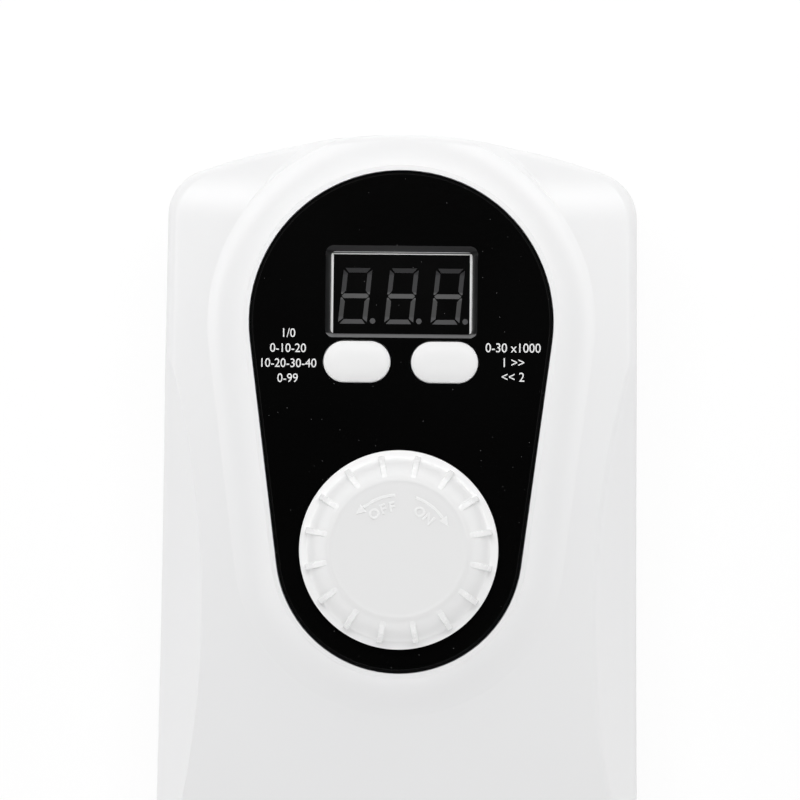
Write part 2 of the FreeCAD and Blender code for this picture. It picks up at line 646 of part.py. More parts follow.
def switch_body(side):
    """Square tactile switch on the board, bored for its plunger."""
    x, h = side * BUTTON_X, SWITCH_SIZE / 2
    body = box(x - h, x + h, BUTTON_Y - h, BUTTON_Y + h, BOARD_TOP_Z, BOARD_TOP_Z + SWITCH_HEIGHT)
    floor = BOARD_TOP_Z + PLUNGER_FOOT - BUTTON_TRAVEL - 0.2
    return body.cut(cylinder(PLUNGER_R + 0.1, floor, BOARD_TOP_Z + 9, x, BUTTON_Y))


def switch_plunger(side):
    return cylinder(PLUNGER_R, BOARD_TOP_Z + PLUNGER_FOOT, PLUNGER_TOP_Z, side * BUTTON_X, BUTTON_Y)


def turned(points):
    """Solid of revolution about the knob's axis from (radius, height) corners."""
    corners = [Vector(r, 0, z) for r, z in points]
    face = Part.Face(Part.makePolygon(corners + corners[:1]))
    solid = face.revolve(Vector(0, 0, 0), UP, 360)
    solid.translate(Vector(0, PANEL_BOTTOM_Y, 0))
    return solid


def shaft_section(radius, z0, z1):
    """Round shaft with a flat for the knob."""
    shaft = cylinder(radius, z0, z1, 0, PANEL_BOTTOM_Y)
    return shaft.cut(box(radius - 1.5, radius + 5, PANEL_BOTTOM_Y - 9, PANEL_BOTTOM_Y + 9, z0 - 1, z1 + 1))


def knob():
    """Turned cap: flange, bent skirt with grip ribs, flat face, hollow with a D-bored boss."""
    flange_z = KNOB_Z + KNOB_FLANGE
    shoulder_z = KNOB_TOP_Z - KNOB_SHOULDER_DROP
    body = turned([(0, KNOB_Z), (KNOB_R, KNOB_Z), (KNOB_R, flange_z), (KNOB_SKIRT_R, flange_z),
                   (KNOB_SHOULDER_R, shoulder_z), (KNOB_FACE_R, KNOB_TOP_Z), (0, KNOB_TOP_Z)])
    rib_low = flange_z - 0.3
    rib_high = KNOB_TOP_Z - 0.12
    corners = [(KNOB_FACE_R - 1, rib_low), (RIB_END_R, rib_low), (RIB_END_R, flange_z + RIB_END_RISE),
               (KNOB_SHOULDER_R, shoulder_z + RIB_RISE), (RIB_START_R, rib_high), (KNOB_FACE_R - 1, rib_high)]
    points = [Vector(r, -RIB_WIDTH / 2, z) for r, z in corners]
    ribs = []
    for k in range(KNOB_RIBS):
        rib = Part.Face(Part.makePolygon(points + points[:1])).extrude(Vector(0, RIB_WIDTH, 0))
        rib.rotate(Vector(0, 0, 0), UP, (k + 0.5) * 360.0 / KNOB_RIBS)
        rib.translate(Vector(0, PANEL_BOTTOM_Y, 0))
        ribs.append(rib)
    body = body.fuse(ribs)
    hollow_top = KNOB_TOP_Z - KNOB_WALL
    boss_z = BUSHING_TOP_Z + 0.3
    wide, narrow = KNOB_SKIRT_R - KNOB_WALL, KNOB_FACE_R - KNOB_WALL / 2
    hollow = turned([(0, KNOB_Z - 1), (wide, KNOB_Z - 1), (wide, flange_z + 0.3), (narrow, hollow_top),
                     (0, hollow_top)])
    boss = cylinder(BOSS_R, boss_z, hollow_top + 0.1, 0, PANEL_BOTTOM_Y)
    bore = shaft_section(SHAFT_R, boss_z - 1, SHAFT_TOP_Z)
    return body.cut(hollow).fuse(boss).cut(bore).removeSplitter()


def pot_shaft():
    plain = cylinder(SHAFT_R, SHAFT_BOTTOM_Z, BUSHING_TOP_Z + 0.2, 0, PANEL_BOTTOM_Y)
    return plain.fuse(shaft_section(SHAFT_R, BUSHING_TOP_Z + 0.1, SHAFT_TOP_Z))


def pot_body():
    """Round can with its threaded bushing and three solder lugs."""
    can = cylinder(POT_R, CEILING_Z - POT_DEPTH, CEILING_Z, 0, PANEL_BOTTOM_Y)
    bushing = cylinder(BUSHING_R, CEILING_Z - 0.5, BUSHING_TOP_Z, 0, PANEL_BOTTOM_Y)
    lugs = [box(k * 5.0 - 0.8, k * 5.0 + 0.8, PANEL_BOTTOM_Y + POT_R - 2.6, PANEL_BOTTOM_Y + POT_R + 4.0,
                CEILING_Z - 4.4, CEILING_Z - 3.9) for k in (-1, 0, 1)]
    bore = cylinder(SHAFT_R + RUNNING_GAP, SHAFT_BOTTOM_Z - 0.3, BUSHING_TOP_Z + 1, 0, PANEL_BOTTOM_Y)
    return can.fuse([bushing] + lugs).cut(bore)


def pot_switch():
    """On-off switch wafer under the potentiometer, with its two lugs."""
    top = CEILING_Z - POT_DEPTH
    wafer = cylinder(POT_R - 0.5, top - POT_SWITCH_DEPTH, top, 0, PANEL_BOTTOM_Y)
    lugs = [box(k * 3.0 - 0.8, k * 3.0 + 0.8, PANEL_BOTTOM_Y - POT_R - 3.0, PANEL_BOTTOM_Y - POT_R + 2.6,
                top - 2.4, top - 1.9) for k in (-1, 1)]
    return wafer.fuse(lugs)


def pot_nut():
    nut = polygon_prism(6, NUT_ACROSS / math.sqrt(3), PANEL_Z, PANEL_Z + NUT_THICK, 0, PANEL_BOTTOM_Y)
    return nut.cut(cylinder(BUSHING_R + 0.05, PANEL_Z - 1, PANEL_Z + 4, 0, PANEL_BOTTOM_Y))


def main_board():
    """Board with two corners cut to clear the case."""
    y0, y1 = MAIN_BOARD_Y
    h, c = MAIN_BOARD_HALF_X, 5.0
    return prism([(-h, y0), (h, y0), (h, y1 - c), (h - c, y1), (c - h, y1), (-h, y1 - c)],
                 BOARD_BOTTOM_Z, BOARD_TOP_Z)


def main_board_parts():
    """Controller chip, regulator, capacitors and connectors under the main board."""
    low = BOARD_BOTTOM_Z
    return Part.makeCompound([
        box(-6, 4, 43.5, 50.5, low - 1.6, low),
        box(12, 18, 50, 54, low - 1.5, low),
        cylinder(3.0, low - 6.0, low, 18, 40),
        box(-21, -15, 37, 43, low - 3.5, low),
        box(-8, 2, 26, 31, low - 5.0, low),
        box(8, 20, 26, 31, low - 5.0, low)])


def power_board():
    y0, y1 = POWER_BOARD_Y
    top = POWER_BOARD_TOP_Z
    return box(-POWER_BOARD_HALF_X, POWER_BOARD_HALF_X, y0, y1, top - BOARD_THICK, top)


def power_board_parts():
    """Choke, transistors, capacitor and connectors on the power board."""
    top = POWER_BOARD_TOP_Z
    return Part.makeCompound([
        box(-5, 5, -60, -51.5, top, top + 5.0),
        cylinder(4.0, top, top + 8.0, 0, -65.5),
        box(-24, -19.5, -66, -60.5, top, top + 5.0),
        box(20, 24.5, -66, -60.5, top, top + 5.0),
        box(-24, -19.5, -56.5, -52.5, top, top + 1.6),
        box(19.5, 24, -56.5, -52.5, top, top + 1.6)])


def battery_cell(side):
    """Cylindrical cell lying across the unit, with its raised positive cap."""
    y = CELL_Y + side * CELL_PITCH / 2
    half = CELL_LENGTH / 2
    body = cylinder_along_x(CELL_R, -half, half - 0.8, y, CELL_Z)
    cap = cylinder_along_x(2.9, half - 1.0, half, y, CELL_Z)
    body = body.fuse(cap)
    if side > 0:
        body.rotate(Vector(0, y, CELL_Z), UP, 180)
    return body


def cell_tabs():
    """Welded strips: the series link at one end and the two terminals at the other."""
    half = CELL_LENGTH / 2
    low, high = CELL_Y - CELL_PITCH / 2, CELL_Y + CELL_PITCH / 2
    z0, z1 = CELL_Z - 0.8, CELL_Z + 4.2
    link = box(-half - TAB_THICK, -half, low - 3.5, high + 3.5, z0, z1)
    ends = [box(half, half + TAB_THICK, y - 3.5, y + 3.5, z0, z1) for y in (low, high)]
    return Part.makeCompound([link] + ends)


def battery_holder():
    """Open tray with two round troughs, end walls and notches for the strips."""
    half_y = CELL_PITCH / 2 + CELL_R + HOLDER_WALL
    half_x = CELL_LENGTH / 2 + TAB_THICK + 0.3 + HOLDER_WALL
    body = box(-half_x, half_x, CELL_Y - half_y, CELL_Y + half_y, BACK_Z + WALL, CELL_Z + 1.5)
    inner = half_x - HOLDER_WALL
    cuts = [cylinder_along_x(CELL_R + 0.1, -inner, inner, CELL_Y + side * CELL_PITCH / 2, CELL_Z)
            for side in (-1, 1)]
    cuts.append(box(-inner, inner, CELL_Y - CELL_PITCH / 2, CELL_Y + CELL_PITCH / 2,
                    CELL_Z - 1, CELL_Z + 5))
    cuts += [box(*sorted((side * (half_x - HOLDER_WALL - 1), side * (half_x + 1))), CELL_Y - 3, CELL_Y + 3,
                 CELL_Z - 3, CELL_Z + 5) for side in (-1, 1)]
    return body.cut(cuts)


def handpiece_socket():
    """Jack socket: block on the power board and a round nose in the end wall."""
    y0 = SOCKET_FACE_Y
    block = box(HANDPIECE_X - 4.4, HANDPIECE_X + 4.4, y0 + SOCKET_NOSE, y0 + 15.5,
                POWER_BOARD_TOP_Z, SOCKET_Z + 4.0)
    nose = cylinder_along_y(HANDPIECE_NOSE_R, y0, y0 + SOCKET_NOSE + 0.5, HANDPIECE_X, SOCKET_Z)
    bore = cylinder_along_y(HANDPIECE_BORE_R, y0 - 1, y0 + HANDPIECE_DEPTH, HANDPIECE_X, SOCKET_Z)
    return block.fuse(nose).cut(bore)


def charge_socket():
    """Barrel socket with its centre pin, in the same arrangement."""
    y0 = SOCKET_FACE_Y
    block = box(CHARGE_X - 5.0, CHARGE_X + 5.0, y0 + SOCKET_NOSE, y0 + 14.5,
                POWER_BOARD_TOP_Z, SOCKET_Z + 5.0)
    nose = cylinder_along_y(CHARGE_NOSE_R, y0, y0 + SOCKET_NOSE + 0.5, CHARGE_X, SOCKET_Z)
    bore = cylinder_along_y(CHARGE_BORE_R, y0 - 1, y0 + CHARGE_DEPTH, CHARGE_X, SOCKET_Z)
    pin = cylinder_along_y(CHARGE_PIN_R, y0 + 1.0, y0 + CHARGE_DEPTH + 0.5, CHARGE_X, SOCKET_Z)
    return block.fuse(nose).cut(bore).fuse(pin)


def belt_clip():
    """Plate with a thumb pad, two hinge lugs and a tooth at the tip of the jaw."""
    z0, z1 = CLIP_Z, CLIP_Z + CLIP_THICK
    plate = rounded_box(-CLIP_HALF_X, CLIP_HALF_X, CLIP_Y[0], CLIP_Y[1], z0, z1, 3.0)
    rim = [e for e in plate.Edges if e.BoundBox.ZMax < z0 + 0.01]
    plate = plate.makeChamfer(0.5, rim)
    tooth = box(-CLIP_HALF_X + 3, CLIP_HALF_X - 3, CLIP_Y[0] + 0.8, CLIP_Y[0] + 2.8,
                z1 - 0.2, BAY_ROOF_Z - 0.05)
    crest = [e for e in tooth.Edges if e.BoundBox.ZMin > BAY_ROOF_Z - 0.1 and e.BoundBox.XLength > 3]
    tooth = tooth.makeFillet(0.7, crest)
    adds = [tooth]
    for side in (-1, 1):
        outer = side * (CLIP_HALF_X - 0.4)
        inner = side * (CLIP_HALF_X - 0.4 - CLIP_LUG_WIDTH)
        x0, x1 = sorted((outer, inner))
        adds.append(cylinder_along_x(CLIP_LUG_R, x0, x1, HINGE_Y, HINGE_Z))
        adds.append(box(x0, x1, HINGE_Y - CLIP_LUG_R, HINGE_Y + CLIP_LUG_R, z1 - 0.3, HINGE_Z))
    body = plate.fuse(adds)
    cuts = [cylinder_along_x(CLIP_PIN_R + RUNNING_GAP, -20, 20, HINGE_Y, HINGE_Z)]
    for k in range(4):
        cuts.append(cylinder_along_x(0.5, -8, 8, CLIP_Y[1] - 2.0 - 1.8 * k, z0 - 0.15))
    return body.cut(cuts)


def clip_pin():
    return cylinder_along_x(CLIP_PIN_R, -BAY_HALF_X - 0.8, BAY_HALF_X + 0.8, HINGE_Y, HINGE_Z)


def clip_spring():
    """Torsion spring of square wire round the hinge pin, with a straight leg at each end."""
    w = SPRING_WIRE / 2
    pitch = SPRING_WIRE + 0.3
    rise = pitch * SPRING_TURNS
    corners = [Vector(SPRING_R - w, 0, -w), Vector(SPRING_R + w, 0, -w), Vector(SPRING_R + w, 0, w),
               Vector(SPRING_R - w, 0, w)]
    section = Part.makePolygon(corners + corners[:1])
    coil = Part.Wire(Part.makeHelix(pitch, rise, SPRING_R)).makePipeShell([section], True, True)
    legs = [box(SPRING_R - w, SPRING_R + w, -SPRING_LEG, 0.05, -w, w),
            box(-SPRING_R - w, -SPRING_R + w, -SPRING_LEG, 0.05, rise - w, rise + w)]
    spring = coil.fuse(legs)
    spring.translate(Vector(0, 0, -rise / 2))
    spring.rotate(Vector(0, 0, 0), Vector(0, 1, 0), 90)
    spring.translate(Vector(0, HINGE_Y, HINGE_Z))
    return spring


def case_screws():
    """Two screws from the back at the socket end."""
    solids = []
    for x, y in SCREW_POSTS:
        low = SCREW_SEAT_Z - SCREW_HEAD_THICK
        head = cylinder(SCREW_HEAD_R, low, SCREW_SEAT_Z, x, y)
        solids.append(head.fuse(cylinder(SCREW_R, SCREW_SEAT_Z - 0.2, SCREW_SEAT_Z + SCREW_LENGTH, x, y)))
    return Part.makeCompound(solids)


def rubber_feet():
    """Round pads stuck to the back."""
    return Part.makeCompound([cylinder(FOOT_R, 0, BACK_Z, x, y) for x, y in FEET])


def pin_places():
    return [((column - 2.5) * 2.54, MODULE_Y + row * 5.08) for row in (-1, 1) for column in range(6)]


PIECES = {
    "front_shell": front_shell,
    "back_shell": back_shell,
    "control_panel": control_panel,
    "display_module": display_module,
    "display_pins": display_pins,
    "display_face": display_face,
    "display_segments": display_segments,
    "button_left": lambda: button(-1),
    "button_right": lambda: button(1),
    "switch_body_left": lambda: switch_body(-1),
    "switch_body_right": lambda: switch_body(1),
    "switch_plunger_left": lambda: switch_plunger(-1),
    "switch_plunger_right": lambda: switch_plunger(1),
    "knob": knob,
    "potentiometer_shaft": pot_shaft,
    "potentiometer_body": pot_body,
    "potentiometer_switch": pot_switch,
    "potentiometer_nut": pot_nut,
    "main_board": main_board,
    "main_board_parts": main_board_parts,
    "power_board": power_board,
    "power_board_parts": power_board_parts,
    "battery_cell_1": lambda: battery_cell(-1),
    "battery_cell_2": lambda: battery_cell(1),
    "battery_cell_tabs": cell_tabs,
    "battery_holder": battery_holder,
    "handpiece_socket": handpiece_socket,
    "charge_socket": charge_socket,
    "belt_clip": belt_clip,
    "clip_pin": clip_pin,
    "clip_spring": clip_spring,
    "case_screws": case_screws,
    "rubber_feet": rubber_feet,
}


def main():
    os.makedirs("parts", exist_ok=True)
    for name, make in PIECES.items():
        shape = make()
        shape.exportStep("parts/" + name + ".step")
        print(name, len(shape.Solids), round(shape.Volume, 1), shape.isValid())


main()
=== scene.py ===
"""Looks of the nail drill's control unit: smooth controls, printed marks, materials, light and camera."""

import math

import bmesh
import bpy
from mathutils import Matrix, Vector


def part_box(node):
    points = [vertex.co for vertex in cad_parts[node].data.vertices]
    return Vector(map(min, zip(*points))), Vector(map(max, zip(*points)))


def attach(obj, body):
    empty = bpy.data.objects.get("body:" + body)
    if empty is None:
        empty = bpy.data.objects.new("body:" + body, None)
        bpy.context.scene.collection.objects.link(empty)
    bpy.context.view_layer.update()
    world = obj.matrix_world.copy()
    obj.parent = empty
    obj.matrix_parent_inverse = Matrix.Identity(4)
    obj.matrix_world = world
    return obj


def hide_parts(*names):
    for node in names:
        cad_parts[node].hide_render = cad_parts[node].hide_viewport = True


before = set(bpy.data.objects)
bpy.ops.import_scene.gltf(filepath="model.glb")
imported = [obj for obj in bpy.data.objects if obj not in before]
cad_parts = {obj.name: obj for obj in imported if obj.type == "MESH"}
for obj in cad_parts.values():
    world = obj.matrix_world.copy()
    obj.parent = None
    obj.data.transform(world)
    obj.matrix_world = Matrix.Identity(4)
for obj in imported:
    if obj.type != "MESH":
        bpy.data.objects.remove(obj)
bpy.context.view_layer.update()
MM = 0.001

# Places taken from the CAD model, in millimetres
PANEL_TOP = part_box("control_panel")[1][2] / MM
KNOB_CENTRE_Y = 5.4
KNOB_LOW, KNOB_HIGH = 30.0, 36.2
BUTTON_X, BUTTON_Y = 7.12, 35.9
BUTTON_LENGTH, BUTTON_WIDTH = 10.9, 6.75
DISPLAY_Y = 47.4
DISPLAY_SPAN = (DISPLAY_Y - 10, DISPLAY_Y + 10)     # the stretch over which its shades are given
WINDOW_REACH = {"X": 13.0, "Y": 8.2}    # from the display's middle to just past its window's walls
SCREW_PLACES = ((-31.5, -61.0), (31.5, -61.0))
FOOT_PLACES = ((-29, -47), (-29, 44), (29, -47), (29, 44))
FOOT_R, FOOT_THICK, FOOT_ROUNDING = 5.0, 1.0, 0.45
HANDPIECE_X, CHARGE_X, SOCKET_Z = -14.0, 14.0, 13.0
SOCKET_MOUTH_Y = -73.36                 # just inside the mouths of both sockets


# Colour and material helpers

def linear(hex_code):
    """sRGB hex colour as the linear RGBA that Blender's sockets take."""
    channels = [int(hex_code[i:i + 2], 16) / 255 for i in (1, 3, 5)]
    return [c / 12.92 if c <= 0.04045 else ((c + 0.055) / 1.055) ** 2.4 for c in channels] + [1.0]


def add_node(tree, kind, settings=None, inputs=None):
    """Adds a node; settings are its properties, inputs its socket values or the sockets linked to it."""
    node = tree.nodes.new(kind)
    for key, value in (settings or {}).items():
        setattr(node, key, value)
    for key, value in (inputs or {}).items():
        if isinstance(value, bpy.types.NodeSocket):
            tree.links.new(value, node.inputs[key])
        else:
            node.inputs[key].default_value = value
    return node


def new_material(name, colour, roughness, **sockets):
    """Principled material; returns the material, its tree and its shader node."""
    material = bpy.data.materials.new(name)
    material.use_nodes = True
    tree = material.node_tree
    shader = tree.nodes["Principled BSDF"]
    shader.inputs["Base Color"].default_value = linear(colour)
    shader.inputs["Roughness"].default_value = roughness
    for key, value in sockets.items():
        shader.inputs[key.replace("_", " ")].default_value = value
    return material, tree, shader


def noise(tree, size_mm, detail=2.0, stretch=(1, 1, 1)):
    """Noise in object coordinates whose grains are about size_mm across."""
    coords = add_node(tree, "ShaderNodeTexCoord")
    mapping = add_node(tree, "ShaderNodeMapping", inputs={
        "Vector": coords.outputs["Object"], "Scale": [s / (size_mm * MM) for s in stretch]})
    return add_node(tree, "ShaderNodeTexNoise", inputs={
        "Vector": mapping.outputs["Vector"], "Scale": 1.0, "Detail": detail})


def shades_along(tree, value, stops):
    """Colour that follows a value from 0 to 1 through the stops, which are positions with their colours."""
    ramp = add_node(tree, "ShaderNodeValToRGB", inputs={"Fac": value})
    elements = ramp.color_ramp.elements
    for position, shade in stops[1:-1]:
        elements.new(position).color = shade
    for element, (position, shade) in ((elements[0], stops[0]), (elements[-1], stops[-1])):
        element.position = position
        element.color = shade
    return ramp.outputs["Color"]


def colour_between(tree, shader, texture, low, high, start=0.3, end=0.7):
    """Base colour drifting between two hex colours as the texture goes from start to end."""
    shade = shades_along(tree, texture.outputs[0], ((start, linear(low)), (end, linear(high))))
    tree.links.new(shade, shader.inputs["Base Color"])


def along(tree, axis, low_mm, high_mm, stops):
    """Colour that changes along an axis, from low_mm to high_mm, through stops in hex colours."""
    coords = add_node(tree, "ShaderNodeTexCoord")
    place = add_node(tree, "ShaderNodeSeparateXYZ", inputs={"Vector": coords.outputs["Object"]})
    share = add_node(tree, "ShaderNodeMapRange", inputs={
        "Value": place.outputs[axis], "From Min": low_mm * MM, "From Max": high_mm * MM})
    return shades_along(tree, share.outputs["Result"], [
        (position, linear(shade)) for position, shade in stops])


def roughness_between(tree, shader, texture, low, high):
    """Roughness drifting between two values with the texture, as handling and the tool leave it."""
    spread = add_node(tree, "ShaderNodeMapRange", inputs={
        "Value": texture.outputs[0], "From Min": 0.1, "From Max": 0.9, "To Min": low, "To Max": high})
    tree.links.new(spread.outputs["Result"], shader.inputs["Roughness"])


def relief(tree, shader, texture, depth_mm, strength):
    """Fine bumps depth_mm deep."""
    bump = add_node(tree, "ShaderNodeBump", inputs={
        "Height": texture.outputs[0], "Distance": depth_mm * MM, "Strength": strength})
    tree.links.new(bump.outputs["Normal"], shader.inputs["Normal"])


# Materials

def gloss_abs():
    """Injection-moulded white ABS off a polished tool: bright, cool white, soft wide highlights."""
    material, tree, shader = new_material("Polished_white_ABS", "#EFEFF0", 0.3, IOR=1.54)
    colour_between(tree, shader, noise(tree, 45, 1.0), "#EFEFF0", "#F1F1F1", 0.0, 1.0)
    roughness_between(tree, shader, noise(tree, 9, 0.0), 0.28, 0.33)
    relief(tree, shader, noise(tree, 3.5), 0.004, 0.35)
    return material


def satin_abs(name="Satin_white_ABS"):
    """White ABS off a lightly blasted tool: the same white with a fine satin grain."""
    material, tree, shader = new_material(name, "#EEEEEE", 0.42, IOR=1.54)
    colour_between(tree, shader, noise(tree, 14, 1.0), "#EDEDED", "#F0F0F0")
    roughness_between(tree, shader, noise(tree, 4), 0.38, 0.46)
    relief(tree, shader, noise(tree, 0.35), 0.004, 0.5)
    return material


def knob_abs_painted_light():
    """The satin white of the knob: lighter towards its flange, painted light that lifts the shade
    the skirt casts there, and greyer towards its face.
    """
    material = satin_abs("Satin_white_ABS_knob_painted_light")
    tree = material.node_tree
    # Painted light: lighter towards the flange to lift the skirt's shade on it; greyer towards the face
    shade = along(tree, "Z", KNOB_LOW, KNOB_HIGH, (
        (0.25, "#F5F5F5"), (0.6, "#F2F2F2"), (0.93, "#EDEDED"), (0.97, "#EAEAEA")))
    tree.links.new(shade, tree.nodes["Principled BSDF"].inputs["Base Color"])
    return material


def polished_relief_painted_highlight():
    """Ribs and raised letters: glossier where fingers keep them polished, and a brighter white
    than the satin as a painted highlight for the light their relief catches.
    """
    # Painted highlight: a brighter white than the satin, for the light the ribs and letters catch
    material, tree, shader = new_material("Polished_white_relief_painted_highlight", "#F4F4F4", 0.25, IOR=1.54)
    roughness_between(tree, shader, noise(tree, 0.6), 0.2, 0.32)
    return material


def dust(tree, cell_mm, speck_mm):
    """Sparse settled dust: 1 in tiny specks, 0 elsewhere."""
    coords = add_node(tree, "ShaderNodeTexCoord")
    mapping = add_node(tree, "ShaderNodeMapping", inputs={
        "Vector": coords.outputs["Object"], "Scale": [1 / (cell_mm * MM)] * 3})
    cells = add_node(tree, "ShaderNodeTexVoronoi", inputs={
        "Vector": mapping.outputs["Vector"], "Scale": 1.0})
    return add_node(tree, "ShaderNodeMapRange", inputs={
        "Value": cells.outputs["Distance"], "From Min": 0.0, "From Max": speck_mm / cell_mm,
        "To Min": 1.0, "To Max": 0.0})


def with_dust(tree, shader, cell_mm, speck_mm, colour):
    """Lays dust specks over whatever feeds the base colour."""
    under = shader.inputs["Base Color"].links[0].from_socket
    mix = add_node(tree, "ShaderNodeMix", {"data_type": "RGBA"}, {
        0: dust(tree, cell_mm, speck_mm).outputs["Result"], 6: under, 7: linear(colour)})
    tree.links.new(mix.outputs[2], shader.inputs["Base Color"])


def below_face(tree):
    """Masks of the panel: 1 below its polished face, and 1 on the walls of the display window alone."""
    coords = add_node(tree, "ShaderNodeTexCoord")
    offset = add_node(tree, "ShaderNodeVectorMath", {"operation": "SUBTRACT"}, {
        0: coords.outputs["Object"], 1: [0.0, DISPLAY_Y * MM, PANEL_TOP * MM]})
    mirrored = add_node(tree, "ShaderNodeVectorMath", {"operation": "ABSOLUTE"}, {0: offset.outputs[0]})
    place = add_node(tree, "ShaderNodeSeparateXYZ", inputs={"Vector": mirrored.outputs[0]})
    below = wall = add_node(tree, "ShaderNodeMath", {"operation": "GREATER_THAN"}, {
        0: place.outputs["Z"], 1: 0.03 * MM})
    for axis, reach in WINDOW_REACH.items():
        near = add_node(tree, "ShaderNodeMath", {"operation": "LESS_THAN"}, {
            0: place.outputs[axis], 1: reach * MM})
        wall = add_node(tree, "ShaderNodeMath", {"operation": "MULTIPLY"}, {
            0: wall.outputs[0], 1: near.outputs[0]})
    return below.outputs[0], wall.outputs[0]


def black_acrylic():
    """Back-painted acrylic plate: mirror gloss over deep black, hairlines and dust. Its cut edges are dull
    black, and the window's walls carry painted light: the lower one light grey as if lit from above, the
    top dark grey, the sides near black."""
    material, tree, shader = new_material("Polished_black_acrylic", "#060606", 0.06, IOR=1.49)
    colour_between(tree, shader, noise(tree, 30, 1.0), "#040404", "#060606")
    with_dust(tree, shader, 1.4, 0.065, "#A0A0A0")
    roughness_between(tree, shader, noise(tree, 1.6, 3.0, (1, 14, 1)), 0.05, 0.11)
    below, wall = below_face(tree)
    # Painted light on the window's walls: lower wall light grey as if lit from above, top wall dark grey,
    # side walls near black
    walls = along(tree, "Y", *DISPLAY_SPAN, (
        (0.155, "#7C7C7D"), (0.165, "#1A1A1B"), (0.835, "#1A1A1B"), (0.845, "#3A3A3B")))
    # Each row ends with the Mix node's sockets for that type: face, wall and result; the colour row lays
    # the walls' painted light
    for socket, data_type, moulded, face_in, wall_in, result in (
            ("Base Color", "RGBA", walls, 6, 7, 2), ("Roughness", "FLOAT", 0.3, 2, 3, 0)):
        mix = add_node(tree, "ShaderNodeMix", {"data_type": data_type}, {
            0: wall, face_in: shader.inputs[socket].links[0].from_socket, wall_in: moulded})
        tree.links.new(mix.outputs[result], shader.inputs[socket])
    gloss = add_node(tree, "ShaderNodeMapRange", inputs={"Value": below, "To Min": 0.5, "To Max": 0.08})
    tree.links.new(gloss.outputs["Result"], shader.inputs["Specular IOR Level"])
    return material


def display_body():
    """White filled plastic of the display module, a little chalky; its upper edge is painted dark as a
    painted shadow of the window's upper wall.
    """
    material, tree, shader = new_material("Chalky_white_display_plastic", "#F6F6F5", 0.5)
    # Painted shadow: a thin dark strip along the upper edge, under the window's upper wall
    shade = along(tree, "Y", *DISPLAY_SPAN, ((0.8215, "#F8F8F7"), (0.8235, "#2C2C2C")))
    tree.links.new(shade, shader.inputs["Base Color"])
    roughness_between(tree, shader, noise(tree, 1.2), 0.45, 0.6)
    relief(tree, shader, noise(tree, 0.4), 0.003, 0.5)
    return material


def display_ink():
    """Black ink under the display's clear face: nearly black with a smooth sheen."""
    material, tree, shader = new_material("Black_display_ink", "#060606", 0.14)
    colour_between(tree, shader, noise(tree, 5), "#040404", "#070707")
    with_dust(tree, shader, 1.3, 0.07, "#909090")
    shader.inputs["Specular IOR Level"].default_value = 0.3
    relief(tree, shader, noise(tree, 0.5), 0.002, 0.2)
    return material


def segment_resin():
    """Milky diffusing resin of unlit segments: neutral grey, with painted light and shade by row: paler
    middle and lower bars, darker upper half, darkest top bar.
    """
    material, tree, shader = new_material("Unlit_grey_segment_resin", "#4B4B4C", 0.3)
    low, high = (corner[1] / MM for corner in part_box("display_segments"))
    # Painted light and shade by row: paler middle and bottom bars, darker upper half, darkest top bar
    shade = along(tree, "Y", low, high, (
        (0.11, "#555556"), (0.14, "#494949"), (0.42, "#494949"), (0.45, "#5C5C5C"), (0.55, "#5C5C5C"),
        (0.58, "#3F3F40"), (0.87, "#3E3E3F"), (0.9, "#303031")))
    tree.links.new(shade, shader.inputs["Base Color"])
    shader.inputs["Specular IOR Level"].default_value = 0.15
    return material


def black_nylon():
    """Glass-filled black nylon of switches and sockets: dull with a fine grain."""
    material, tree, shader = new_material("Black_filled_nylon", "#1A1A1B", 0.55)
    colour_between(tree, shader, noise(tree, 0.8), "#161617", "#202021")
    relief(tree, shader, noise(tree, 0.25), 0.006, 0.6)
    return material


def zinc_steel():
    """Zinc-plated steel, drawn along its length: bright grey with fine streaks."""
    material, tree, shader = new_material("Zinc_plated_steel", "#C3C5C9", 0.3, Metallic=1.0)
    grain = noise(tree, 1.0, 3.0, (1, 6, 6))
    colour_between(tree, shader, grain, "#B7B9BE", "#CDCFD2")
    roughness_between(tree, shader, grain, 0.24, 0.38)
    return material


def nickel_strip():
    """Rolled nickel strip: warm grey metal with faint rolling lines."""
    material, tree, shader = new_material("Rolled_nickel_strip", "#C4C0B6", 0.32, Metallic=1.0)
    roughness_between(tree, shader, noise(tree, 0.6, 2.0, (8, 1, 8)), 0.26, 0.42)
    return material


def board_lacquer():
    """Green solder lacquer over etched copper: two greens where tracks run under it."""
    material, tree, shader = new_material("Green_board_lacquer", "#1C6A3C", 0.35)
    coords = add_node(tree, "ShaderNodeTexCoord")
    cells = add_node(tree, "ShaderNodeTexBrick", inputs={
        "Vector": coords.outputs["Object"], "Scale": 1.0 / (6.0 * MM), "Color1": linear("#1A6438"),
        "Color2": linear("#1D6C3E"), "Mortar": linear("#2C8750"), "Mortar Size": 0.03})
    tree.links.new(cells.outputs["Color"], shader.inputs["Base Color"])
    return material


def cell_sleeve():
    """Heat-shrunk vinyl sleeve on a cell: smooth, slightly wrinkled blue."""
    material, tree, shader = new_material("Blue_shrink_sleeve", "#3E6FA8", 0.32)
    colour_between(tree, shader, noise(tree, 8), "#3A69A0", "#4476B0")
    relief(tree, shader, noise(tree, 1.5, 2.0, (3, 1, 1)), 0.02, 0.4)
    return material


def tray_plastic():
    """Recycled black tray plastic: grey-black with faint flow marks."""
    material, tree, shader = new_material("Black_tray_plastic", "#262627", 0.5)
    colour_between(tree, shader, noise(tree, 7, 3.0, (1, 4, 1)), "#222223", "#2C2C2D")
    return material


